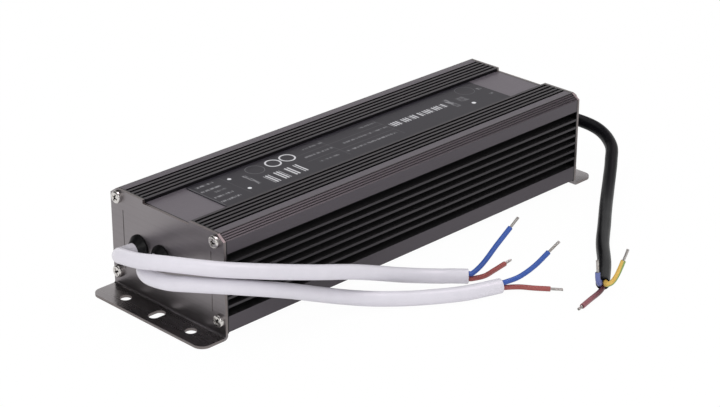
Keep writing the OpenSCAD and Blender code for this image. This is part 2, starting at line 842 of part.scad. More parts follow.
// Disc parts on two leads
module disc_part(place, size) {
    r = size[0] / 2;
    edge = size[1] / 4;
    on_board(place) {
        translate([-size[1] / 2, 0, disc_lift + r])
            rotate([0, 90, 0])
                rotate_extrude()
                    polygon([
                        [0, 0], [r - edge, 0], [r, edge], [r, size[1] - edge],
                        [r - edge, size[1]], [0, size[1]]
                    ]);
        for (s = [-1, 1])
            translate([0, s * r / 2, 0]) cylinder(d = disc_lead_d, h = disc_lift + r / 2);
    }
}
module surge_varistor() {
    color("steelblue") disc_part(varistor_at, varistor_size);
}
module inrush_thermistor() {
    color("#303830") disc_part(thermistor_at, thermistor_size);
}
module suppression_capacitors() {
    color("cornflowerblue") for (p = suppression_at) disc_part(p, suppression_size);
}

// Film capacitor and bridge rectifier
module filter_capacitor() {
    edge = 1;
    size = filter_cap_size;
    color("goldenrod")
        on_board(filter_cap_at)
            linear_extrude(size[2]) rounded_rect(size[0], size[1], edge);
}
module rounded_rect(size_x, size_y, r) {
    square([size_x - 2 * r, size_y], center = true);
    square([size_x, size_y - 2 * r], center = true);
    for (x = [-1, 1], y = [-1, 1])
        translate([x * (size_x / 2 - r), y * (size_y / 2 - r)]) circle(r = r);
}
module bridge_rectifier() {
    size = bridge_size;
    cut = 3;
    color("#262626")
        on_board(bridge_at) {
            translate([0, size[1] / 2, bridge_lift])
                rotate([90, 0, 0])
                    linear_extrude(size[1])
                        difference() {
                            translate([-size[0] / 2, 0]) square([size[0], size[2]]);
                            translate([size[0] / 2, size[2]]) rotate(45) square(cut, center = true);
                            translate([0, size[2] - 2 * cut]) circle(d = cut);
                        }
            for (i = [-1.5:1:1.5])
                translate([i * 2 * pin_pitch, 0, 0]) cylinder(d = 1, h = bridge_lift + eps);
        }
}

// Ring chokes: a core and turns of round-cornered wire
module ring_core(place, outer_d, hole_d, h, wire_d) {
    on_board(place)
        translate([0, 0, wire_d + seat_fit])
            difference() {
                cylinder(d = outer_d, h = h);
                translate([0, 0, -eps]) cylinder(d = hole_d, h = h + 2 * eps);
            }
}
module ring_turns(place, outer_d, hole_d, h, wire_d, angles) {
    gap_x = (outer_d - hole_d) / 2 + 2 * seat_fit;
    gap_z = h + 2 * seat_fit;
    on_board(place)
        for (a = angles)
            rotate(a)
                translate([(outer_d + hole_d) / 4, 0, wire_d + gap_z / 2])
                    rotate([90, 0, 0])
                        linear_extrude(wire_d, center = true)
                            difference() {
                                rounded_rect(gap_x + 2 * wire_d, gap_z + 2 * wire_d, wire_d);
                                square([gap_x, gap_z], center = true);
                            }
}
function fan(middle, count, step) =
    [for (i = [0:count - 1]) middle + (i - (count - 1) / 2) * step];
module filter_choke_core() {
    color("#305030")
        ring_core(choke_at, choke_d, choke_hole_d, choke_h, choke_wire_d);
}
module filter_choke_windings() {
    color("peru")
        ring_turns(choke_at, choke_d, choke_hole_d, choke_h, choke_wire_d,
                   concat(fan(90, choke_turns, choke_step), fan(-90, choke_turns, choke_step)));
}
module output_choke_core() {
    color("khaki")
        ring_core(output_choke_at, output_choke_d, output_choke_hole_d, output_choke_h,
                  output_wire_d);
}
module output_choke_winding() {
    color("peru")
        ring_turns(output_choke_at, output_choke_d, output_choke_hole_d, output_choke_h,
                   output_wire_d, fan(180, output_turns, output_step));
}

// Electrolytic capacitors
module can(place, d, h) {
    r = d / 2;
    groove = 0.6;
    on_board(place)
        rotate_extrude()
            polygon([
                [0, 0], [r - groove, 0], [r, groove], [r, 4 * groove],
                [r - groove, 5 * groove], [r, 6 * groove], [r, h - groove],
                [r - groove, h], [r - 3 * groove, h], [r - 3.5 * groove, h - groove / 2],
                [0, h - groove / 2]
            ]);
}
module bulk_capacitors() {
    color("#303438") for (p = bulk_cap_at) can(p, bulk_cap_d, bulk_cap_h);
}
module output_capacitors() {
    color("#303438") for (p = output_cap_at) can(p, output_cap_d, output_cap_h);
}

// Transformer: split core, bobbin on the middle leg, taped winding
module core_half(h) {
    linear_extrude(core_w, center = true)
        difference() {
            translate([-core_len / 2, 0]) square([core_len, h]);
            for (s = [-1, 1])
                translate([s * (core_mid + window_w) / 2 - window_w / 2, core_leg])
                    square([window_w, h]);
        }
}
module transformer_core() {
    half_h = (core_h - core_split) / 2;
    color("#404048")
        translate([transformer_at[0], transformer_at[1], yoke_z]) {
            rotate([90, 0, 0]) core_half(half_h);
            translate([0, 0, core_h]) mirror([0, 0, 1]) rotate([90, 0, 0]) core_half(half_h);
        }
}
module transformer_bobbin() {
    hole = [core_mid + 2 * seat_fit, core_w + 2 * seat_fit];
    rail_y = (bobbin_y - hole[1]) / 2;
    rim_z = winding_z - bobbin_wall;
    color("#585860")
        translate([transformer_at[0], transformer_at[1], 0]) {
            difference() {
                union() {
                    plate_of(bobbin_x, bobbin_y, rim_z, bobbin_wall);
                    plate_of(bobbin_x, bobbin_y, winding_z + winding_h, bobbin_wall);
                    plate_of(hole[0] + 2 * bobbin_wall, hole[1] + 2 * bobbin_wall,
                             rim_z, winding_h + 2 * bobbin_wall);
                }
                plate_of(hole[0], hole[1], rim_z - eps, winding_h + 2 * bobbin_wall + 2 * eps);
            }
            for (s = [-1, 1])
                translate([0, s * (bobbin_y - rail_y) / 2, 0])
                    plate_of(bobbin_x, rail_y, board_top, rim_z - board_top + eps);
        }
}
module transformer_windings() {
    inner = [core_mid, core_w] + [1, 1] * (4 * seat_fit + 2 * bobbin_wall);
    edge = 2;
    color("gold")
        translate([transformer_at[0], transformer_at[1], winding_z + seat_fit])
            linear_extrude(winding_h - 2 * seat_fit)
                difference() {
                    rounded_rect(bobbin_x - 1, bobbin_y - 1, edge);
                    square(inner, center = true);
                }
}

// Power packages screwed to heat bars on the side walls; drawn for the +Y wall
function package_xs(x) = [for (s = [-1, 1]) x + s * package_pitch / 2];
module at_tab(x) {
    translate([x, bar_face_y, tab_hole_z]) rotate([90, 0, 0]) children();
}
module heat_bar(x) {
    difference() {
        translate([x - bar_len / 2, bar_face_y, board_top]) cube([bar_len, bar_t, bar_h]);
        for (px = package_xs(x))
            at_tab(px) translate([0, 0, -bar_t - eps])
                cylinder(d = tab_screw_d + seat_fit, h = bar_t + 2 * eps);
    }
}
module insulating_pad(x) {
    translate([x - bar_len / 2 - 1, cavity_half_w - pad_t, board_top + 1])
        cube([bar_len + 2, pad_t, bar_h]);
}
module power_package(x) {
    translate([x, bar_face_y - package_t, board_top]) {
        for (i = [-1:1])
            translate([i * pin_pitch - 0.4, package_t / 2, 0])
                cube([0.8, 0.5, package_lift + eps]);
        translate([-package_w / 2, 0, package_lift]) cube([package_w, package_t, package_h]);
    }
    difference() {
        translate([x - package_w / 2, bar_face_y - tab_t, board_top + package_lift + package_h - eps])
            cube([package_w, tab_t, tab_h + eps]);
        at_tab(x) translate([0, 0, -eps]) cylinder(d = tab_hole_d, h = tab_t + 2 * eps);
    }
}
module tab_screw(x) {
    at_tab(x) {
        translate([0, 0, tab_t]) pan_head(tab_screw_head_d, tab_screw_head_h);
        translate([0, 0, tab_t + eps - tab_screw_len]) cylinder(d = tab_screw_d, h = tab_screw_len);
    }
}
module power_packages(x) {
    for (px = package_xs(x)) power_package(px);
}
module tab_screws(x) {
    for (px = package_xs(x)) tab_screw(px);
}
module primary_heat_bar() {
    color("lightgray") mirror([0, 1, 0]) heat_bar(primary_bar_x);
}
module primary_insulating_pad() {
    color("lightsteelblue") mirror([0, 1, 0]) insulating_pad(primary_bar_x);
}
module switching_transistors() {
    color("#202024") mirror([0, 1, 0]) power_packages(primary_bar_x);
}
module transistor_screws() {
    color("gainsboro") mirror([0, 1, 0]) tab_screws(primary_bar_x);
}
module output_heat_bar() {
    color("lightgray") heat_bar(output_bar_x);
}
module output_insulating_pad() {
    color("lightsteelblue") insulating_pad(output_bar_x);
}
module output_rectifiers() {
    color("#202024") power_packages(output_bar_x);
}
module rectifier_screws() {
    color("gainsboro") tab_screws(output_bar_x);
}

// Small chips on two rows of pins
module chip(place, pins) {
    size_x = pins * pin_pitch - 0.5;
    row_y = chip_w / 2;
    on_board(place) {
        translate([-size_x / 2, -row_y, chip_lift]) cube([size_x, chip_w, chip_h]);
        for (x = fan(0, pins, pin_pitch), s = [-1, 1])
            translate([x, s * row_y, 0])
                translate([-0.25, -0.4, 0]) cube([0.5, 0.8, chip_lift + chip_h / 2]);
    }
}
module controller_chip() {
    color("#202024") chip(controller_at, 4);
}
module optocoupler() {
    color("whitesmoke") chip(optocoupler_at, 2);
}

housing();
output_end_plate();
input_end_plate();
output_gasket();
input_gasket();
output_plate_screws();
input_plate_screws();
left_output_grommet();
right_output_grommet();
input_grommet();
rating_label();
output_cable_upper();
output_cable_lower();
input_cable();
upper_core_blue();
upper_core_brown();
lower_core_blue();
lower_core_brown();
input_core_blue();
input_core_brown();
input_core_earth();
upper_strands();
lower_strands();
input_strands();
inner_leads_blue();
inner_leads_brown();
inner_lead_earth();
circuit_board();
insulating_sheet();
potting_compound();
mains_fuse();
fuse_clips();
surge_varistor();
inrush_thermistor();
filter_capacitor();
filter_choke_core();
filter_choke_windings();
suppression_capacitors();
bridge_rectifier();
bulk_capacitors();
transformer_core();
transformer_bobbin();
transformer_windings();
primary_heat_bar();
primary_insulating_pad();
switching_transistors();
transistor_screws();
output_heat_bar();
output_insulating_pad();
output_rectifiers();
rectifier_screws();
controller_chip();
optocoupler();
output_choke_core();
output_choke_winding();
output_capacitors();
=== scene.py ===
import json
import math
import random

import bmesh
import bpy
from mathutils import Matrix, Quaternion, Vector


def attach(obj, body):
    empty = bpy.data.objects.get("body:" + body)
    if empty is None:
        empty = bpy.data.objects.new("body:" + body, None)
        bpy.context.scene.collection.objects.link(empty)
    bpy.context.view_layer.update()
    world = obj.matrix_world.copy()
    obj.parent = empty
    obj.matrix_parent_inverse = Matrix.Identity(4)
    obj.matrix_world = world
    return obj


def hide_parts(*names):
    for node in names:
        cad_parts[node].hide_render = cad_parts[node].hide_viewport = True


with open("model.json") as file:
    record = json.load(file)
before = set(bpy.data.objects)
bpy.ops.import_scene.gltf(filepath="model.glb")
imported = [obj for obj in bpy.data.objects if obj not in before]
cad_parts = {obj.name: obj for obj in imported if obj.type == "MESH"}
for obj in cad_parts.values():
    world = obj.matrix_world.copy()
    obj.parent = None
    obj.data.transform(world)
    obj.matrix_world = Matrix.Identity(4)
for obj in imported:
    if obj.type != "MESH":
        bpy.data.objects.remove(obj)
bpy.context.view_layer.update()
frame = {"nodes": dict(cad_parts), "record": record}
bpy.ops.object.select_all(action="DESELECT")
print("frame loaded,", len(frame["nodes"]), "nodes")

mm = 0.001


# Camera, at the photograph's place and lens; angles in degrees
camera = {
    "azimuth": 45.17,
    "elevation": 24.33,
    "roll": 0.197,
    "distance": 897.4 * mm,
    "right": 1.07 * mm,
    "up": 12.72 * mm,
    "lens": 101.04,
    "sensor": 36,
    "near": 0.05,
    "far": 50,
}


def makeCamera(c):
    turn, tilt = math.radians(c["azimuth"]), math.radians(c["elevation"])
    level = math.cos(tilt)
    back = Vector((-math.sin(turn) * level, -math.cos(turn) * level, math.sin(tilt)))
    right = (-back).cross(Vector((0, 0, 1))).normalized()
    up = right.cross(-back)
    spot = back * c["distance"] + right * c["right"] + up * c["up"]
    bpy.ops.object.camera_add(location=spot)
    eye = bpy.context.object
    roll = Quaternion((0, 0, 1), math.radians(c["roll"]))
    eye.rotation_euler = ((-back).to_track_quat("-Z", "Y") @ roll).to_euler()
    eye.data.lens = c["lens"]
    eye.data.sensor_width = c["sensor"]
    eye.data.clip_start, eye.data.clip_end = c["near"], c["far"]
    eye.select_set(False)
    bpy.context.scene.camera = eye


makeCamera(camera)
print("camera placed")


# A socket of a material, so that a pattern can be written as sums
class Wire:
    def __init__(self, tree, socket=None):
        self.tree = tree
        self.socket = socket

    def node(self, kind, settings, values, output=0):
        made = self.tree.nodes.new("ShaderNode" + kind)
        for key, value in settings.items():
            setattr(made, key, value)
        for key, value in values.items():
            if isinstance(value, Wire):
                self.tree.links.new(value.socket, made.inputs[key])
            else:
                made.inputs[key].default_value = value
        return Wire(self.tree, made.outputs[output])

    def maths(self, operation, *terms):
        return self.node("Math", {"operation": operation}, dict(enumerate(terms)))

    def __add__(self, other):
        return self.maths("ADD", self, other)

    def __radd__(self, other):
        return self.maths("ADD", other, self)

    def __sub__(self, other):
        return self.maths("SUBTRACT", self, other)

    def __rsub__(self, other):
        return self.maths("SUBTRACT", other, self)

    def __mul__(self, other):
        return self.maths("MULTIPLY", self, other)

    def __rmul__(self, other):
        return self.maths("MULTIPLY", other, self)

    def __lt__(self, other):
        return self.maths("LESS_THAN", self, other)

    def __gt__(self, other):
        return self.maths("GREATER_THAN", self, other)

    def __abs__(self):
        return self.maths("ABSOLUTE", self)

    def wave(self):
        return self.maths("SINE", self)

    def root(self):
        return self.maths("SQRT", self)

    def either(self, other):
        return self.maths("MAXIMUM", self, other)

    def both(self, other):
        return self.maths("MINIMUM", self, other)

    def remainder(self, step):
        return self.maths("FLOORED_MODULO", self, step)

    def between(self, low, high):
        return (self > low) * (self < high)

    def rise(self, low, high, start=0.0, end=1.0):
        # start below low, end above high, smooth between
        values = {0: self, 1: low, 2: high, 3: start, 4: end}
        return self.node("MapRange", {"interpolation_type": "SMOOTHSTEP"}, values)

    def part(self, axis):
        return self.node("SeparateXYZ", {}, {0: self}, output=axis)

    def stretch(self, x, y, z):
        values = {"Vector": self, "Scale": (x, y, z)}
        return self.node("Mapping", {"vector_type": "POINT"}, values)

    def noise(self, scale, detail=2.0, rough=0.5):
        values = {"Vector": self, "Scale": scale, "Detail": detail, "Roughness": rough}
        return self.node("TexNoise", {}, values)

    def tint(self, low, high):
        # the colour low where this is 0 and high where it is 1
        return self.node("Mix", {"data_type": "RGBA"}, {0: self, 6: low, 7: high}, output=2)


def apart(x, y, middleX, middleY):
    # the square of the distance to a point
    dx, dy = x - middleX, y - middleY
    return dx * dx + dy * dy


def rgb(red, green, blue):
    # a colour as a picture program gives it, 0 to 255, made linear by the usual curve
    def linear(v):
        v = v / 255
        return v / 12.92 if v <= 0.04045 else ((v + 0.055) / 1.055) ** 2.4
    return (linear(red), linear(green), linear(blue), 1)


finishes = {}


def finish(name, look, **fixed):
    # look gives the sockets that change over the surface, fixed the rest
    material = bpy.data.materials.new(name)
    material.use_nodes = True
    tree = material.node_tree
    shader = tree.nodes["Principled BSDF"]
    for key, value in fixed.items():
        shader.inputs[key.replace("_", " ")].default_value = value
    spot = tree.nodes.new("ShaderNodeTexCoord")
    sockets = look(Wire(tree, spot.outputs["Object"]), Wire(tree, spot.outputs["UV"]))
    height, depth = sockets.pop("Height", (None, 0))
    if height is not None:
        values = {"Height": height, "Distance": depth, "Strength": 1.0}
        normal = height.node("Bump", {}, values)
        tree.links.new(normal.socket, shader.inputs["Normal"])
    for key, value in sockets.items():
        tree.links.new(value.socket, shader.inputs[key])
    finishes[name] = material


def dress(piece, name):
    # every slot of a piece gets one finish
    if not piece.material_slots:
        piece.data.materials.append(finishes[name])
    for slot in piece.material_slots:
        slot.material = finishes[name]


def handIn(piece, slot, node):
    # the piece gets its finish, rides the body and stands for a node of the part
    dress(piece, slot)
    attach(piece, "root")
    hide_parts(node)


# Modelling by hand: a primitive, then faces and edges picked by their place
def only(piece):
    bpy.ops.object.select_all(action="DESELECT")
    piece.select_set(True)
    bpy.context.view_layer.objects.active = piece


def begin(piece, name):
    piece.name = piece.data.name = name
    bpy.ops.object.mode_set(mode="EDIT")
    bpy.ops.mesh.select_all(action="DESELECT")


def beginDisc(name, sides, radius, height):
    # a flat cylinder that stands on the origin, open for editing
    bpy.ops.mesh.primitive_cylinder_add(vertices=sides, radius=radius, depth=height,
                                        location=(0, 0, height / 2))
    piece = bpy.context.object
    bpy.ops.object.transform_apply()
    begin(piece, name)
    return piece


def pick(piece, kind, test):
    # kind is faces or edges; test takes a middle and a normal, or an edge's two ends
    bpy.ops.mesh.select_mode(type="FACE" if kind == "faces" else "EDGE")
    bpy.ops.mesh.select_all(action="DESELECT")
    shape = bmesh.from_edit_mesh(piece.data)
    for item in getattr(shape, kind):
        if kind == "faces":
            item.select_set(test(item.calc_center_median(), item.normal))
        else:
            item.select_set(test(item.verts[0].co, item.verts[1].co))
    bmesh.update_edit_mesh(piece.data)


def carryOn(rings):
    # takes the picked end face on through rings of (height, radius)
    for (z0, r0), (z1, r1) in zip(rings, rings[1:]):
        bpy.ops.mesh.extrude_region_move(TRANSFORM_OT_translate={"value": (0, 0, z1 - z0)})
        if r1 != r0:
            bpy.ops.transform.resize(value=(r1 / r0, r1 / r0, 1), center_override=(0, 0, z1))


def outwards():
    # ends the editing, with all faces turned outwards
    bpy.ops.mesh.select_all(action="SELECT")
    bpy.ops.mesh.normals_make_consistent(inside=False)
    bpy.ops.object.mode_set(mode="OBJECT")


def finished(piece, smoothAngle):
    outwards()
    bpy.ops.object.shade_smooth_by_angle(angle=math.radians(smoothAngle))
    piece.select_set(False)
    return piece


def bevelled(piece, width, segments, sharpAngle, smoothAngle):
    # rounds the edges sharper than sharpAngle; the piece is the active one
    edge = piece.modifiers.new("edge", "BEVEL")
    edge.width, edge.segments = width, segments
    edge.limit_method, edge.angle_limit = "ANGLE", math.radians(sharpAngle)
    bpy.ops.object.modifier_apply(modifier=edge.name)
    bpy.ops.object.shade_smooth_by_angle(angle=math.radians(smoothAngle))


def place(piece, turn, tip, shift):
    # turned about its own axis, tipped towards an end plate and moved, all in its mesh
    only(piece)
    bpy.ops.object.mode_set(mode="EDIT")
    bpy.ops.mesh.select_all(action="SELECT")
    for angle, axis in ((turn, "Z"), (tip, "Y")):
        bpy.ops.transform.rotate(value=math.radians(angle), orient_axis=axis,
                                 center_override=(0, 0, 0))
    bpy.ops.transform.translate(value=shift)
    bpy.ops.object.mode_set(mode="OBJECT")


def copyOf(piece):
    only(piece)
    bpy.ops.object.duplicate(linked=False)
    return bpy.context.object


def joined(pieces, name):
    only(pieces[0])
    for piece in pieces:
        piece.select_set(True)
    bpy.ops.object.join()
    whole = bpy.context.object
    whole.name = whole.data.name = name
    whole.select_set(False)
    return whole


# Cords: routes in millimetres, those of the part's source, with the first bend of the upper
# cable drawn in by about 1 mm
cables = {
    "upper": {
        "route": [
            (-102, 17.5, 23), (-112.5, 17.5, 23), (-118.5, 16, 24), (-124.2, 11.2, 27),
            (-128.6, 4.2, 30.4), (-130.2, -8.3, 33.3), (-128.2, -17.8, 35), (-122.5, -29, 35.5),
            (-114.5, -37, 34.2), (-105, -42, 32), (-89, -46.5, 27.5), (-72, -49.5, 22.5),
            (-55, -51.5, 17.5), (-40, -52.5, 12), (-29.5, -53.5, 8), (-19, -56, 4.8),
            (-10, -61, 3.2), (-2.5, -68.5, 3.2),
        ],
        "cores": {
            "blue": [
                (-2.5, -68.5, 4.4), (-1.5, -69.5, 4.4), (3, -71.3, 8), (9, -73.6, 15.5),
                (16, -75, 22),
            ],
            "brown": [
                (-2.5, -68.5, 2), (-1.5, -69.5, 2), (5, -70.8, 1.5), (12, -69.8, 1.2),
                (20.5, -68.7, 1.2),
            ],
        },
        "bare": {"blue": 5.5, "brown": 4.7},
        "diameter": 6.4, "holeRadius": 2.4, "sheath": "white_sheath", "node": "output_cable_upper",
        "exit": (-112.6, 17.5, 23),
    },
    "lower": {
        "route": [
            (-102, 3.5, 23), (-112.5, 3.5, 23), (-117, 2, 23.7), (-123, -2.5, 25),
            (-127, -10.5, 26), (-126.5, -21, 27), (-122.5, -29, 27.6), (-115.5, -36, 27),
            (-107.5, -40.5, 25.2), (-98.5, -43, 22.3), (-83, -44.7, 16.3), (-67.5, -47.3, 10),
            (-57.5, -50.5, 6.5), (-48, -55.5, 4.2), (-39, -62, 3.3), (-30, -69, 3.2),
            (-15.5, -78, 3.2), (0.5, -84, 3.2),
        ],
        "cores": {
            "blue": [
                (0.5, -84, 4.4), (2.1, -84.6, 4.4), (8.5, -87, 5.6), (15, -89.4, 9),
                (22, -91.3, 14),
            ],
            "brown": [
                (0.5, -84, 2), (2.1, -84.6, 2), (8, -88, 1.4), (11.7, -92.6, 1.2),
                (16, -98, 1.2),
            ],
        },
        "bare": {"blue": 6.5, "brown": 5.3},
        "diameter": 6.4, "holeRadius": 2.4, "sheath": "white_sheath", "node": "output_cable_lower",
        "exit": (-112.6, 3.5, 23),
    },
    "input": {
        "route": [
            (102, 0, 23), (112.5, 0, 23), (121, -0.5, 22), (129.5, -3.5, 20.5),
            (137, -11.5, 18.5), (139.5, -23.5, 16), (134.5, -35, 13), (125, -43, 10),
            (114.5, -50.5, 7), (104.5, -57.5, 4.7), (94, -65, 3.4), (78.5, -76.5, 3),
            (63, -88, 3), (48.5, -100.5, 3), (32.5, -112.5, 3),
        ],
        "cores": {
            "blue": [
                (31.75, -111.5, 3.65), (30.55, -112.4, 3.65), (28.8, -113.3, 4.8),
                (27.8, -113.4, 7), (27.9, -113, 10),
            ],
            "brown": [
                (32.5, -112.5, 1.65), (31.3, -113.4, 1.65), (27, -114.8, 1.5),
                (21.5, -115.7, 1.3), (13, -117.4, 1.2),
            ],
            "earth": [
                (33.25, -113.5, 3.65), (32.05, -114.4, 3.65), (31.5, -115.8, 4.2),
                (32.6, -117.1, 5.2), (35.4, -117.2, 7.2), (38, -117, 10), (39.4, -117.3, 13),
            ],
        },
        "bare": {"blue": 5.5, "brown": 3.2, "earth": 5.3},
        "diameter": 6.0, "holeRadius": 2.56, "sheath": "black_sheath", "node": "input_cable",
        "exit": (112.6, 0, 23),
    },
}
cord = {
    "routeStep": 0.4 * mm,
    "sheathSides": 40,
    "sheathStep": 0.9 * mm,  # between rings
    "sheathRim": 0.35 * mm,  # rounding of the cut edge
    "sheathRecess": 0.7 * mm,  # of the filling behind the cut
    "coreRadius": 1.1 * mm,
    "coreSides": 24,
    "coreStep": 0.5 * mm,
    "coreRim": 0.12 * mm,
    "coreRecess": 0.4 * mm,
    "coreHole": 0.8 * mm,  # where the strands enter the insulation
    "holeTaper": 0.96,
    "rimRings": 3,
    "uneven": 0.006,  # of the sheath's radius
    "unevenWaves": (310, 127),  # radians in a metre
    "uvScale": 10,  # along the cord, in a metre
    "smoothAngle": 50,
}
strand = {
    "wireRadius": 0.125 * mm,
    "layers": [(0, 1), (2, 6), (3.86, 12)],  # wires lie round the middle one, in wire radii
    "twist": 8 * mm,  # one turn of the strands
    "sides": 6,
    "points": 16,
    "rings": 14,
    "reach": (0.93, 1.0),  # uneven ends
    "spread": (-0.1, 0.5),  # of the free end
    "spreadFrom": 0.7,  # share of the length
    "tip": (0.3, 0.7),  # length of the cut end's chamfer and radius left, in wire radii
    "extension": 8,  # points of the straight run beyond the insulation
    "smoothAngle": 60,
}


def smoothRoute(points, lowest):
    # one smooth line through the points, that never sinks below lowest
    points = [Vector(p) * mm for p in points]
    ways = []
    for i in range(len(points)):
        before, after = points[max(i - 1, 0)], points[min(i + 1, len(points) - 1)]
        ways.append((after - before).normalized())
    line = []
    for a, b, wayA, wayB in zip(points, points[1:], ways, ways[1:]):
        span = (b - a).length
        count = max(2, round(span / cord["routeStep"]))
        for i in range(count):
            t = i / count
            p = (a * (1 - t) ** 3 + 3 * (a + wayA * span / 3) * t * (1 - t) ** 2
                 + 3 * (b - wayB * span / 3) * t ** 2 * (1 - t) + b * t ** 3)
            line.append(Vector((p.x, p.y, max(p.z, lowest))))
    line.append(points[-1])
    return line


class Track:
    # a line with its length and a frame that doesn't twist
    def __init__(self, line):
        self.line = line
        self.reach = [0.0]
        for a, b in zip(line, line[1:]):
            self.reach.append(self.reach[-1] + (b - a).length)
        self.length = self.reach[-1]
        side = (line[1] - line[0]).orthogonal().normalized()
        if abs((line[1] - line[0]).normalized().z) < 0.9:
            side = Vector((0, 0, 1))
        self.ways, self.sides = [], []
        for i in range(len(line)):
            way = (line[min(i + 1, len(line) - 1)] - line[max(i - 1, 0)]).normalized()
            side = (side - way * side.dot(way)).normalized()
            self.ways.append(way)
            self.sides.append(side)

    def at(self, s):
        s = min(max(s, 0), self.length)
        low, high = 0, len(self.reach) - 2
        while low < high:
            middle = (low + high + 1) // 2
            if self.reach[middle] <= s:
                low = middle
            else:
                high = middle - 1
        t = (s - self.reach[low]) / (self.reach[low + 1] - self.reach[low])
        centre = self.line[low].lerp(self.line[low + 1], t)
        way = self.ways[low].lerp(self.ways[low + 1], t).normalized()
        side = self.sides[low].lerp(self.sides[low + 1], t)
        side = (side - way * side.dot(way)).normalized()
        return centre, way, side

    def around(self, s, radius, angle):
        # a point at this angle round the line
        centre, way, side = self.at(s)
        across = way.cross(side)
        return centre + side * (radius * math.cos(angle)) + across * (radius * math.sin(angle))


def sweep(name, jobs, smoothAngle):
    # closed skins round tracks; a job is a track, its rings as (s, radius) and its sides
    points, faces, uvs = [], [], []
    for track, rings, sides in jobs:
        starts = []
        for s, radius in rings:
            starts.append(len(points))
            if radius == 0:
                points.append(track.at(s)[0])
                continue
            points += [track.around(s, radius, 2 * math.pi * k / sides) for k in range(sides)]
        spans = [(start, s * cord["uvScale"], radius) for start, (s, radius) in zip(starts, rings)]
        for (a, low, startRadius), (b, high, endRadius) in zip(spans, spans[1:]):
            for k in range(sides):
                n = (k + 1) % sides
                left, right = k / sides, (k + 1) / sides
                if startRadius == 0:
                    faces.append((a, b + n, b + k))
                    uvs.append(((left, low), (right, high), (left, high)))
                elif endRadius == 0:
                    faces.append((a + k, a + n, b))
                    uvs.append(((left, low), (right, low), (left, high)))
                else:
                    faces.append((a + k, a + n, b + n, b + k))
                    uvs.append(((left, low), (right, low), (right, high), (left, high)))
    mesh = bpy.data.meshes.new(name)
    mesh.from_pydata([tuple(p) for p in points], [], faces)
    layer = mesh.uv_layers.new(name="along")
    layer.data.foreach_set("uv", [c for face in uvs for uv in face for c in uv])
    mesh.validate()
    piece = bpy.data.objects.new(name, mesh)
    bpy.context.collection.objects.link(piece)
    only(piece)
    bpy.ops.object.mode_set(mode="EDIT")
    return finished(piece, smoothAngle)


def tubeRings(length, radius, step, rim, hole, recess, bulge=None):
    # rings of a cut tube: a flat start, a rounded rim and an open end that shows its wall
    rings = [(0, 0), (0, radius)]
    count = max(2, round((length - rim) / step))
    for i in range(1, count + 1):
        s = (length - rim) * i / count
        rings.append((s, radius * (bulge(s) if bulge else 1)))
    for i in range(1, cord["rimRings"] + 1):
        angle = math.pi / 2 * i / cord["rimRings"]
        s = length - rim + rim * math.sin(angle)
        rings.append((s, radius - rim + rim * math.cos(angle)))
    rings += [(length, hole), (length - recess, hole * cord["holeTaper"]), (length - recess, 0)]
    return rings


def uneven(s):
    # a sheath is never quite round
    first, second = cord["unevenWaves"]
    return 1 + cord["uneven"] * math.sin(s * first) * math.sin(s * second + 1)


def strandJobs(track, start, length, seed):
    # bare wires in twisted layers, with slightly uneven ends
    chance = random.Random(seed)
    r = strand["wireRadius"]
    jobs = []
    for away, count in strand["layers"]:
        for k in range(count):
            phase = 2 * math.pi * k / count
            reach = length * chance.uniform(*strand["reach"])
            spread = chance.uniform(*strand["spread"])
            line = []
            for i in range(strand["points"] + 1):
                t = i / strand["points"]
                angle = phase + 2 * math.pi * reach * t / strand["twist"]
                out = away * r * (1 + spread * max(0, t - strand["spreadFrom"]))
                line.append(track.around(start + reach * t, out, angle))
            wire = Track(line)
            jobs.append((wire, wireRings(wire.length, r), strand["sides"]))
    return jobs


def wireRings(length, radius):
    count = strand["rings"]
    rings = [(0, 0), (0, radius)]
    rings += [(length * i / count, radius) for i in range(1, count)]
    chamfer, left = strand["tip"]
    return rings + [(length - radius * chamfer, radius), (length, radius * left), (length, 0)]


def extended(track, length):
    # the same line with a straight run added at its end
    last, way, count = track.line[-1], track.ways[-1], strand["extension"]
    more = [last + way * (length * i / count) for i in range(1, count + 1)]
    return Track(track.line + more)


def makeCable(name, c):
    radius = c["diameter"] / 2 * mm
    track = Track(smoothRoute(c["route"], radius))
    rings = tubeRings(track.length, radius, cord["sheathStep"], cord["sheathRim"],
                      c["holeRadius"] * mm, cord["sheathRecess"], uneven)
    sheath = sweep(name + "Sheath", [(track, rings, cord["sheathSides"])], cord["smoothAngle"])
    handIn(sheath, c["sheath"], c["node"])
    strands = []
    for colour, route in c["cores"].items():
        core = Track(smoothRoute(route, cord["coreRadius"]))
        backed = Track([core.line[0] - core.ways[0] * cord["sheathRecess"]] + core.line)
        rings = tubeRings(backed.length, cord["coreRadius"], cord["coreStep"], cord["coreRim"],
                          cord["coreHole"], cord["coreRecess"])
        insulation = sweep(f"{name}{colour.title()}Core", [(backed, rings, cord["coreSides"])],
                           cord["smoothAngle"])
        handIn(insulation, colour + "_insulation", f"{name}_core_{colour}")
        bareLength = c["bare"][colour] * mm
        strands += strandJobs(extended(core, bareLength), core.length - cord["coreRecess"],
                              bareLength + cord["coreRecess"], name + colour)
    bare = sweep(name + "Strands", strands, strand["smoothAngle"])
    handIn(bare, "tinned_copper", name + "_strands")
    tuple(v * mm for v in c["exit"])
    2 * radius
    [tuple(p) for p in track.line[::3] + [track.line[-1]]]
    print(name, "cable,", round(track.length * 1000, 1), "mm")


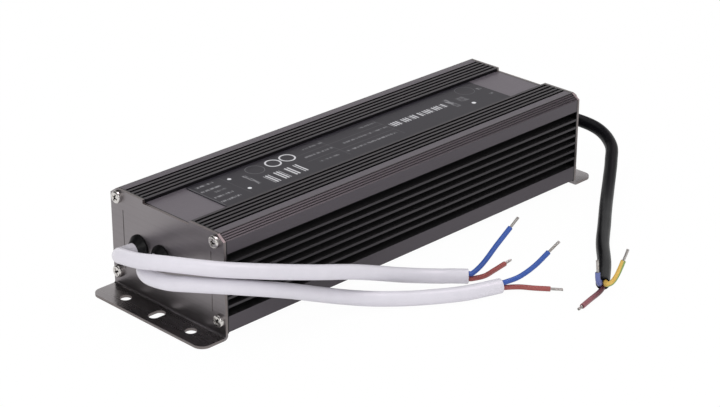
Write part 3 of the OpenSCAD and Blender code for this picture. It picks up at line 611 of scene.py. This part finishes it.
# Finishes of the outside, with the places where they change, places of painted shade among them: y
# from the middle, z upwards
housing = {
    "side": 35 * mm,
    "top": 45.5 * mm,
    "skin": (0.01 * mm, 0.12 * mm),  # the painted shade of a groove begins this far below the outline
    "sideGrooves": (2.7 * mm, 39.5 * mm),  # in z
    "topGrooves": (15 * mm, 31.2 * mm),  # in y
    "topGroovesFoot": 42.5 * mm,
    "wall": (14.25 * mm, 14.35 * mm),  # of the recess, in y
    "wallTop": 45.3 * mm,
    "ridges": (14.3 * mm, 27.3 * mm),  # beside the recess, in y
    "ridgesFoot": 45 * mm,
    "band": 34.5 * mm,  # the long sides' outermost faces lie beyond this y
    "fins": (12.8 * mm, 34.2 * mm),  # in z
    "chamfer": 30.9 * mm,
    "chamferFoot": 42.85 * mm,
    "recess": (43.85 * mm, 44.05 * mm),  # its floor, in z
    "recessHalf": 14.3 * mm,
}


def anodisedLook(at, uv):
    h = housing
    y, z = abs(at.part(1)), at.part(2)
    lines = at.stretch(14, 1300, 1300).noise(1.0, 3.0)  # drawing marks run along the extrusion
    grain = at.noise(2400, 2.0)
    cloud = at.noise(38, 2.0)
    # Painted shade: inside the side and top grooves and on the recess's wall the colour turns near
    # black, more metallic and rougher, standing in for the shade that falls there
    sideDepth = (h["side"] - y).rise(*h["skin"]) * z.between(*h["sideGrooves"])
    topDepth = (h["top"] - z).rise(*h["skin"]) * y.between(*h["topGrooves"])
    topDepth = topDepth * (z > h["topGroovesFoot"])
    narrow = topDepth.either(y.between(*h["wall"]) * (z < h["wallTop"]))
    deep = sideDepth.either(narrow)
    band = y > h["band"]
    # Painted shade: the ridges beside the recess, the side fins, the chamfers and the long sides
    # get darker colours than the plain top, standing in for how the light falls on them; the
    # recess floor gets a lighter tone
    chamfer = (z > h["chamferFoot"]) * (y > h["chamfer"])
    tones = [
        ((z > h["ridgesFoot"]) * y.between(*h["ridges"]), rgb(36, 34, 37)),
        (z.between(*h["fins"]) * band * 0.82, rgb(35, 36, 36)),
        (chamfer, rgb(38, 35, 38)),
        (band * 0.36, rgb(38, 35, 39)),
        (z.between(*h["recess"]) * (y < h["recessHalf"]), rgb(92, 87, 93)),
    ]
    mix = lines * 0.22 + grain * 0.3 + cloud * 0.25 + 0.12
    colour = mix.tint(rgb(68, 63, 69), rgb(90, 85, 91))
    for mask, tone in tones:
        colour = mask.tint(colour, tone)
    return {
        "Base Color": deep.tint(colour, narrow.tint(rgb(46, 46, 47), rgb(34, 33, 36))),
        "Metallic": 0.15 + 0.55 * deep + 0.15 * narrow,
        "Roughness": 0.34 + 0.1 * lines + 0.08 * grain + 0.4 * deep,
        "Coat Weight": chamfer * 0.3,
        "Height": (grain * 0.6 + lines * 0.4, 0.06 * mm),
    }


finish("anodised_aluminium", anodisedLook, Specular_IOR_Level=0.45,
       Specular_Tint=(1, 0.92, 0.97, 1), Coat_Roughness=0.2)

plate = {
    "steep": 0.3,  # a cut edge's normal has less than this across the sheet
    "level": 0.7,  # the normal of the flange's flat side has more than this of z
    "uprightFoot": 2.6 * mm,
    "flangeStart": 110 * mm,
    "flangeEdge": 1.25 * mm,
    "flangeTop": 1.4 * mm,
}


def plateLook(at, uv):
    facing = at.node("NewGeometry", {}, {}, output=1)
    away, flat = abs(facing.part(0)), abs(facing.part(2))
    x, z = abs(at.part(0)), at.part(2)
    upright = (away < plate["steep"]) * (z > plate["uprightFoot"])
    lying = (flat < plate["steep"]) * (z < plate["flangeEdge"]) * (x > plate["flangeStart"])
    edge = upright.either(lying)  # where the sheet is cut
    flange = (z < plate["flangeTop"]) * (flat > plate["level"])
    brushed = at.stretch(1500, 18, 1500).noise(1.0, 3.0)
    smudge = at.noise(55, 3.0)
    face = (brushed * 0.45 + smudge * 0.4 + 0.05).tint(rgb(120, 115, 117), rgb(148, 143, 145))
    face = flange.tint(face, rgb(159, 154, 155))
    return {
        "Base Color": edge.tint(face, rgb(128, 121, 120)),
        "Roughness": 0.27 + 0.08 * brushed + 0.1 * smudge + 0.08 * edge - 0.08 * flange,
        "Height": (brushed * (1 - 0.75 * flange), 0.02 * mm),
    }


finish("plate_steel", plateLook, Metallic=1.0, Anisotropic=0.35)


def rubberLook(at, uv):
    grain = at.noise(1800, 2.0)
    return {
        "Base Color": grain.tint(rgb(4, 4, 5), rgb(10, 10, 11)),
        "Roughness": 0.28 + 0.16 * grain,
        "Height": (grain, 0.03 * mm),
    }


finish("black_rubber", rubberLook, Specular_IOR_Level=0.24)

# Plate screws, for their finish here and their shape further on
screw = {
    "headRadius": 2.75 * mm,
    "headHeight": 1.8 * mm,
    "rounding": 1.0 * mm,  # of the head's upper edge
    "roundingSegments": 7,
    "roundingProfile": 0.56,
    "sides": 48,
    "crown": (0.7 * mm, 0.08 * mm),  # the top's middle: inset and rise
    "armLength": 3.5 * mm,
    "armWidth": 0.86 * mm,
    "armFoot": (0.42, 0.62, 1),  # share of length and width left at the foot
    "armTop": 1.1,  # in head heights
    "recessDepth": 1.25 * mm,
    "shankRadius": 1.25 * mm,
    "rootRadius": 1.0 * mm,  # under the thread
    "neck": 0.4 * mm,
    "pitch": 0.9 * mm,
    "thread": (0.3, 0.42, 0.72, 1),  # crest from and to, root from and to, in pitches
    "shankLength": 10 * mm,
    "point": 0.35,  # the shank's end, in root radii
    "edge": 0.06 * mm,
    "edgeSegments": 2,
    "sharpAngle": 50,
    "smoothAngles": (40, 35),  # before and after the recess is cut
    "upper": 0.99,  # share of the height above which an edge is the head's upper one
    "level": 0.999,  # a flat face's normal has more than this of z
    "plate": 109 * mm,  # x of the face that the heads sit on
    "at": [(30.2, 42.1), (31.6, 7.8), (-30.2, 42.1), (-31.6, 7.8)],  # y and z in millimetres
    "turns": {"output": [24, 62, 8, 38], "input": [50, 12, 71, 30]},  # of each cross, in degrees
    "paintedShadeRadius": 1.9 * mm,  # within this and below the next x, the cross recess gets painted shade, a darker colour
    "paintedShadeBelow": 110.45 * mm,
}


def screwLook(at, uv):
    worn = at.noise(700, 3.0)
    x, y, z = abs(at.part(0)), abs(at.part(1)), at.part(2)
    upper, lower = [apart(y, z, across * mm, height * mm) for across, height in screw["at"][:2]]
    # painted shade: the cross recess is coloured dark and made rougher, where shade falls inside
    # it
    recess = (x < screw["paintedShadeBelow"]) * (upper.both(lower) < screw["paintedShadeRadius"] ** 2)
    metal = worn.tint(rgb(186, 182, 178), rgb(226, 223, 220))
    return {
        "Base Color": recess.tint(metal, rgb(44, 41, 40)),
        "Roughness": 0.14 + 0.14 * worn + 0.3 * recess,
    }


finish("bright_screw", screwLook, Metallic=1.0)

label = {
    # generic print, in millimetres: x from, x to, y from, y to, strength
    "rows": [
        (-84.5, -75, 9.3, 10.6, 0.24), (-85.5, -75, 4.6, 5.9, 0.24), (-81, -75, 1.1, 2.4, 0.22),
        (-85, -75, -3.3, -2, 0.24), (-85.8, -75, -8.1, -6.8, 0.26), (-62.6, -60.8, -4.6, 6, 0.2),
        (-25.5, -13, 8.4, 9.7, 0.13), (-30, -13.5, 1.2, 2.5, 0.16), (-28, -17, -6.2, -4.9, 0.14),
        (9, 20, 8.4, 9.7, 0.13), (-7, 20, 1.2, 2.5, 0.16), (-12.5, 18.5, -6.2, -4.9, 0.2),
        (60, 62.6, -4, 6, 0.24), (66, 71, -1.5, 3.5, 0.1),
        (82.6, 85, 3.6, 5.6, 0.2), (82.6, 84.6, -4, -2.6, 0.2),
    ],
    "blocks": [
        (-56.4, -53.4, -8.6, -0.4), (-50.8, -47.4, -8.6, -0.4), (-45.2, -41.8, -8.6, -0.4),
        (-39.6, -37.6, -8.6, -0.4), (22.6, 28.4, -0.6, 3.6), (30, 33.8, -0.6, 3.6),
        (35, 38.6, -0.6, 3.6), (40.4, 42.6, -0.6, 3.6), (44, 48.6, -0.6, 3.6),
        (49.8, 53.8, -0.6, 3.6), (55.2, 57.8, -0.6, 3.6),
    ],
    "lines": [
        (-86.5, -86.2, -11, 12.2, 0.1), (-70.6, -70.4, -9.5, 11.5, 0.05),
        (-13.4, -13.1, -9, 11.5, 0.05), (20.3, 20.6, -9, 11.5, 0.05),
        (-32, 20.6, 5.3, 5.6, 0.05), (-32, 20.6, -2.3, -2, 0.05),
    ],
    # x, y, radius, half the line's width or 0 for a filled dot, strength
    "rings": [
        (-68, 7.6, 0.9, 0, 0.8), (-68, -5.1, 0.9, 0, 0.8), (69, -5.8, 1.05, 0, 0.85),
        (-53.8, 7.4, 4.2, 0.13, 0.14), (-43.6, 7.2, 3.4, 0.38, 0.7), (-35.4, 7.2, 3.4, 0.38, 0.7),
        (77, 7.2, 4.6, 0.13, 0.09),
    ],
    "softness": 0.16,  # of a printed edge
    "letters": (1250, 260, 0),  # stretch of the noise that breaks the rows up
    "letterGaps": (0.44, 0.56, 0.15, 1.0),
    "slat": 1.55,  # the blocks are fine stripes across, at this distance
    "slatEdge": (0.28, 0.44, 0.72, 0.06),
}


def within(v, low, high):
    # 1 between low and high, with soft edges, all in millimetres
    half, s = (high - low) / 2, label["softness"]
    return abs(v - (low + high) / 2).rise(half - s / 2, half + s / 2, 1.0, 0.0)


def withBoxes(ink, x, y, boxes):
    for x0, x1, y0, y1, strength in boxes:
        ink = ink + within(x, x0, x1) * within(y, y0, y1) * strength
    return ink


def labelLook(at, uv):
    grain = at.noise(3000, 2.0)
    x, y = at.part(0) * (1 / mm), at.part(1) * (1 / mm)
    broken = at.stretch(*label["letters"]).noise(1.0, 1.0).rise(*label["letterGaps"])
    slats = abs(x.remainder(label["slat"]) - label["slat"] / 2).rise(*label["slatEdge"])
    ink = withBoxes(0, x, y, label["rows"]) * broken
    ink = withBoxes(ink, x, y, label["lines"])
    ink = withBoxes(ink, x, y, [(*block, slats) for block in label["blocks"]])
    for middleX, middleY, radius, half, strength in label["rings"]:
        inner, outer = (radius - half, radius + half) if half else (-radius, radius)
        ink = ink + within(apart(x, y, middleX, middleY).root(), inner, outer) * strength
    film = grain.tint(rgb(33, 31, 37), rgb(42, 40, 46))
    return {
        "Base Color": ink.tint(film, rgb(226, 226, 230)),
        "Roughness": 0.42 + 0.1 * grain,
    }


finish("label_film", labelLook, Specular_IOR_Level=0.25, Specular_Tint=(1, 0.97, 1, 1))


# Finishes of the cords
def sheathLook(dark, light, roughness):
    def look(at, uv):
        scuff = at.noise(120, 4.0, 0.6)
        grain = at.noise(1500, 2.0)
        ridge = (uv.part(1) * 90).wave() * 0.5 + 0.5  # faint rings
        return {
            "Base Color": (scuff * 0.55 + grain * 0.25 + ridge * 0.05).tint(dark, light),
            "Roughness": roughness + 0.14 * scuff,
            "Height": (grain * 0.12 + scuff * 0.5, 0.04 * mm),
        }
    return look


finish("white_sheath", sheathLook(rgb(201, 198, 206), rgb(217, 214, 222), 0.42),
       Specular_IOR_Level=0.2, Coat_Weight=0.4, Coat_Roughness=0.22)
finish("black_sheath", sheathLook(rgb(5, 5, 8), rgb(11, 11, 16), 0.3), Specular_IOR_Level=0.16)

# The input cable's cores are duller than the output cores. They are the ones whose x is over
# right, or over middle where y is under front
mains = {
    "right": 24.5 * mm,
    "middle": 12.8 * mm,
    "front": -107 * mm,
    "fade": (16 * mm, 30 * mm),  # the brown one darkens from its end to its sheath, in x
}


def insulationLook(dark, light, mainsDark, mainsLight, fade=None):
    def look(at, uv):
        x, y = at.part(0), at.part(1)
        scuff = at.noise(260, 3.0)
        grain = at.noise(2200, 2.0)
        mix = mainsMix = scuff * 0.6 + grain * 0.3
        isMains = (x > mains["right"]) + (x > mains["middle"]) * (y < mains["front"])
        if fade:
            mainsMix = x.rise(*fade, 1.0, 0.0) * 0.8 + mix * 0.2
        mainsTone = mainsMix.tint(mainsDark, mainsLight)
        return {
            "Base Color": isMains.tint(mix.tint(dark, light), mainsTone),
            "Roughness": 0.34 + 0.16 * scuff,
            "Height": (grain, 0.02 * mm),
        }
    return look


blueLook = insulationLook(rgb(38, 70, 146), rgb(58, 94, 172), rgb(78, 88, 142), rgb(112, 122, 176))
brownLook = insulationLook(rgb(134, 62, 60), rgb(160, 84, 80), rgb(74, 36, 46), rgb(142, 86, 92),
                           mains["fade"])


def earthLook(at, uv):
    scuff = at.noise(260, 3.0)
    turn = (uv.part(0) + uv.part(1) * 0.8).remainder(1.0)  # the green stripe winds slowly
    stripe = abs(turn - 0.5).rise(0.07, 0.12, 0.85, 0.0)
    yellow = scuff.tint(rgb(196, 154, 60), rgb(216, 182, 98))
    return {
        "Base Color": stripe.tint(yellow, rgb(104, 148, 84)),
        "Roughness": 0.34 + 0.16 * scuff,
    }


for colour, look in (("blue", blueLook), ("brown", brownLook), ("earth", earthLook)):
    finish(colour + "_insulation", look, Specular_IOR_Level=0.45)


def strandLook(at, uv):
    tarnish = at.noise(900, 3.0)
    return {
        "Base Color": tarnish.tint(rgb(160, 155, 151), rgb(222, 218, 214)),
        "Roughness": 0.3 + 0.2 * tarnish,
    }


finish("tinned_copper", strandLook, Metallic=1.0)


# Finishes of the pieces inside: dark and light tone, scale of the grain, roughness
def grainLook(dark, light, scale, roughness):
    def look(at, uv):
        grain = at.noise(scale, 3.0)
        cloud = at.noise(scale / 12, 2.0)
        return {
            "Base Color": (grain * 0.5 + cloud * 0.5).tint(dark, light),
            "Roughness": roughness + 0.15 * grain,
            "Height": (grain, 0.02 * mm),
        }
    return look


plainFinishes = {
    "board_laminate": (rgb(24, 72, 40), rgb(38, 98, 54), 500, 0.32),
    "insulating_film": (rgb(196, 186, 150), rgb(214, 206, 172), 300, 0.3),
    "potting_resin": (rgb(30, 30, 32), rgb(48, 48, 50), 200, 0.35),
    "fuse_glass": (rgb(176, 192, 190), rgb(210, 222, 220), 200, 0.1),
    "blue_coating": (rgb(30, 66, 140), rgb(44, 88, 170), 600, 0.35),
    "dark_coating": (rgb(34, 40, 34), rgb(52, 60, 50), 600, 0.45),
    "yellow_case": (rgb(204, 164, 50), rgb(222, 186, 72), 500, 0.4),
    "ferrite": (rgb(44, 43, 44), rgb(66, 64, 64), 1200, 0.55),
    "black_package": (rgb(26, 26, 28), rgb(40, 40, 42), 1500, 0.5),
    "white_package": (rgb(206, 204, 198), rgb(226, 224, 218), 1200, 0.5),
    "capacitor_sleeve": (rgb(20, 34, 60), rgb(32, 48, 80), 500, 0.3),
    "bobbin_plastic": (rgb(40, 38, 36), rgb(58, 54, 52), 700, 0.42),
    "winding_tape": (rgb(208, 168, 40), rgb(226, 190, 66), 260, 0.3),
    "thermal_pad": (rgb(140, 146, 156), rgb(166, 170, 178), 900, 0.6),
}
metalFinishes = {
    "enamelled_wire": (rgb(150, 74, 36), rgb(186, 104, 56), 700, 0.24),
    "clip_brass": (rgb(186, 150, 84), rgb(214, 182, 110), 700, 0.26),
    "bare_aluminium": (rgb(176, 178, 180), rgb(204, 206, 208), 500, 0.3),
}
for name, row in plainFinishes.items():
    finish(name, grainLook(*row), Specular_IOR_Level=0.45)
for name, row in metalFinishes.items():
    finish(name, grainLook(*row), Metallic=1.0)
print(len(finishes), "finishes made")

for name, c in cables.items():
    makeCable(name, c)


# Shape of the plate screws
def recessCutter(turn):
    # one arm of the cross, narrower at its foot
    top, deep = screw["headHeight"] * screw["armTop"], screw["headHeight"] - screw["recessDepth"]
    centre = (0, 0, (top + deep) / 2)
    bpy.ops.mesh.primitive_cube_add(size=1, location=centre)
    arm = bpy.context.object
    begin(arm, "recessArm")
    bpy.ops.mesh.select_all(action="SELECT")
    bpy.ops.transform.resize(value=(screw["armLength"], screw["armWidth"], top - deep))
    pick(arm, "faces", lambda middle, normal: normal.z < -0.5)
    bpy.ops.transform.resize(value=screw["armFoot"])
    bpy.ops.mesh.select_all(action="SELECT")
    bpy.ops.transform.rotate(value=math.radians(turn), orient_axis="Z", center_override=centre)
    bpy.ops.object.mode_set(mode="OBJECT")
    return arm


def makeScrew():
    radius, height = screw["headRadius"], screw["headHeight"]
    piece = beginDisc("plateScrew", screw["sides"], radius, height)
    level, upper = screw["level"], height * screw["upper"]
    pick(piece, "edges", lambda a, b: min(a.z, b.z) > upper)
    bpy.ops.mesh.bevel(offset=screw["rounding"], segments=screw["roundingSegments"],
                       profile=screw["roundingProfile"], affect="EDGES")
    pick(piece, "faces", lambda middle, normal: normal.z > level and middle.z > upper)
    inset, rise = screw["crown"]
    bpy.ops.mesh.inset(thickness=inset, depth=rise)
    pick(piece, "faces", lambda middle, normal: normal.z < -level)
    root, crest, pitch = screw["rootRadius"], screw["shankRadius"], screw["pitch"]
    rings = [(0, radius), (0, root), (-screw["neck"], root)]
    thread = list(zip(screw["thread"], (crest, crest, root, root)))
    while rings[-1][0] - pitch > -screw["shankLength"] + pitch:
        z = rings[-1][0]
        rings += [(z - part * pitch, r) for part, r in thread]
    rings.append((-screw["shankLength"], root * screw["point"]))
    carryOn(rings)
    before, after = screw["smoothAngles"]
    finished(piece, before)
    for turn in (0, 90):
        arm = recessCutter(turn)
        only(piece)
        cut = piece.modifiers.new("recess", "BOOLEAN")
        cut.operation, cut.object, cut.solver = "DIFFERENCE", arm, "EXACT"
        bpy.ops.object.modifier_apply(modifier=cut.name)
        bpy.data.objects.remove(arm)
    bevelled(piece, screw["edge"], screw["edgeSegments"], screw["sharpAngle"], after)
    return piece


def makePlateScrews():
    pattern = makeScrew()
    for end, side in (("output", -1), ("input", 1)):
        copies = []
        for (y, z), turn in zip(screw["at"], screw["turns"][end]):
            piece = copyOf(pattern)
            place(piece, turn, -side * 90, (side * screw["plate"], y * mm, z * mm))
            copies.append(piece)
        handIn(joined(copies, end + "PlateScrews"), "bright_screw", end + "_plate_screws")
    bpy.data.objects.remove(pattern)


# Grommets: a coned nose outside, a neck in the plate and a collar behind it
grommet = {
    "nose": 3.6 * mm,
    "rim": 2.55 * mm,  # this and the tip: beyond the cable's radius
    "tip": 0.35 * mm,
    "waist": (0.42, 0.58),  # shares of rim and tip halfway up the nose
    "neck": 1.1 * mm,
    "land": 0.6 * mm,  # the rim's straight part
    "stack": 1.7 * mm,  # plate and sealing sheet
    "back": 1.5 * mm,
    "fit": 0.1 * mm,
    "rounding": 0.28 * mm,
    "segments": 4,
    "sharpAngle": 20,
    "smoothAngle": 50,
    "sides": 64,
    "level": 0.99,  # a flat face's normal has more than this of z
    "nearly": 1e-6,  # in metres
    "height": 23,
    # name, end, y and the cable's diameter; these and the height in millimetres
    "at": {
        "left_output_grommet": ("leftOutputGrommet", -1, 17.5, 6.4),
        "right_output_grommet": ("rightOutputGrommet", -1, 3.5, 6.4),
        "input_grommet": ("inputGrommet", 1, 0, 6.0),
    },
}


def makeGrommet(node, name, side, y, cable):
    g = grommet
    bore, rim = cable / 2 * mm + g["fit"], cable / 2 * mm + g["rim"]
    tip, neck = cable / 2 * mm + g["tip"], rim - g["neck"]
    front, back = g["nose"], -g["stack"] - g["back"]
    waist = rim * g["waist"][0] + tip * g["waist"][1]
    level, land = g["level"], g["land"]

    def opens(middle, normal):
        # the two faces between which the bore runs
        off = min(abs(middle.z - front), abs(middle.z - back))
        return abs(normal.z) > level and off < g["nearly"] and middle.xy.length < bore * 0.5

    piece = beginDisc(name, g["sides"], rim, land)
    pick(piece, "faces", lambda middle, normal: normal.z > level)
    carryOn([(land, rim), (land * 0.5 + front * 0.5, waist), (front, tip), (front, bore)])
    pick(piece, "faces", lambda middle, normal: normal.z < -level)
    carryOn([(0, rim), (0, neck), (-g["stack"], neck), (-g["stack"], rim), (back, rim),
             (back, bore)])
    pick(piece, "faces", opens)
    bpy.ops.mesh.bridge_edge_loops()
    outwards()
    bevelled(piece, g["rounding"], g["segments"], g["sharpAngle"], g["smoothAngle"])
    place(piece, 0, -side * 90, (side * screw["plate"], y * mm, g["height"] * mm))
    piece.select_set(False)
    handIn(piece, "black_rubber", node)


makePlateScrews()
for node, row in grommet["at"].items():
    makeGrommet(node, *row)
print("screws and grommets made")

# Every CAD node that stays gets its finish, by the slot that the record gives it
for row in frame["record"]["subparts"]:
    dress(frame["nodes"][row["node"]], row["material_slot"])


def rays(tree):
    # whether a ray is the camera's own, a reflected one or one through glass
    path = tree.nodes.new("ShaderNodeLightPath")
    kinds = ("Is Camera Ray", "Is Glossy Ray", "Is Transmission Ray")
    return [Wire(tree, path.outputs[kind]) for kind in kinds]


# Floor, white to the camera and in gloss, with the shadow kept
ground = {
    "size": 8,
    "height": -0.3 * mm,
    "seen": 0.975,  # share of plain white
    "mirrored": 0.6,
    "paint": (0.9, 0.9, 0.9, 1),  # where the light falls
}


def makeFloor():
    bpy.ops.mesh.primitive_plane_add(size=ground["size"], location=(0, 0, ground["height"]))
    floor = bpy.context.object
    floor.name = "floor"
    material = bpy.data.materials.new("floor_white")
    material.use_nodes = True
    tree = material.node_tree
    tree.nodes.clear()
    sight, gloss, through = rays(tree)
    seen = (sight * ground["seen"]).either(gloss * ground["mirrored"])
    seen = seen.either(through * ground["seen"])
    plain = sight.node("BsdfDiffuse", {}, {"Color": ground["paint"]})
    bright = sight.node("Emission", {}, {"Color": (1, 1, 1, 1), "Strength": 1.0})
    mixed = sight.node("MixShader", {}, {0: seen, 1: plain, 2: bright})
    output = tree.nodes.new("ShaderNodeOutputMaterial")
    tree.links.new(mixed.socket, output.inputs[0])
    floor.data.materials.append(material)
    floor.select_set(False)


makeFloor()

# World: plain white to the camera. In gloss it has zones: the direction that a zone is centred
# on, the closeness to it where the zone starts and ends, and the light outside and inside
studio = {
    "ambient": 0.9,  # what surfaces get of it without gloss
    "behind": ((0.65, 0.65, 0.39), 0.72, 0.95, 0.45, 1.05),
    "above": ((0, 0, 1), 0.44, 0.60, 1.0, 0.04),
    "aside": ((-0.55, 0.69, 0.46), 0.7, 0.95, 1.0, 0.15),
    "glow": ((0.40, -0.2, 0.895), 0.92, 0.975, 0.0, 4.5),
    "glowTint": rgb(255, 238, 246),
}


def makeWorld():
    world = bpy.data.worlds.new("studio")
    bpy.context.scene.world = world
    world.use_nodes = True
    tree = world.node_tree
    back = tree.nodes["Background"]
    sight, gloss, through = rays(tree)
    way = Wire(tree, tree.nodes.new("ShaderNodeTexCoord").outputs["Generated"])
    x, y, z = way.part(0), way.part(1), way.part(2)
    seen = sight.either(through)
    zones = []
    for zone in ("behind", "above", "aside", "glow"):
        (dx, dy, dz), *limits = studio[zone]
        zones.append((x * dx + y * dy + z * dz).rise(*limits))
    behind, above, aside, glow = zones
    plain = (1 - seen - gloss) * studio["ambient"]
    strength = seen + gloss * (behind * above * aside + glow) + plain
    shine = (gloss * glow.rise(0.0, 1.0)).tint(rgb(255, 255, 255), studio["glowTint"])
    tree.links.new(shine.socket, back.inputs["Color"])
    tree.links.new(strength.socket, back.inputs["Strength"])


makeWorld()

lamps = {
    "overhead": {"place": (-0.15, 0.1, 1.3), "aim": (0, 0, 0), "size": 1.2, "power": 4.2},
    "side": {"place": (-0.6, -0.5, 0.45), "aim": (-0.08, 0, 0.02), "size": 0.5, "power": 1.4},
}
for name, lamp in lamps.items():
    bpy.ops.object.light_add(type="AREA", location=lamp["place"])
    light = bpy.context.object
    light.name = name
    light.data.size = lamp["size"]
    light.data.energy = lamp["power"]
    way = Vector(lamp["aim"]) - Vector(lamp["place"])
    light.rotation_euler = way.to_track_quat("-Z", "Y").to_euler()
    light.select_set(False)
print("floor, world and lamps made")

bpy.context.scene.view_settings.view_transform = "Standard"
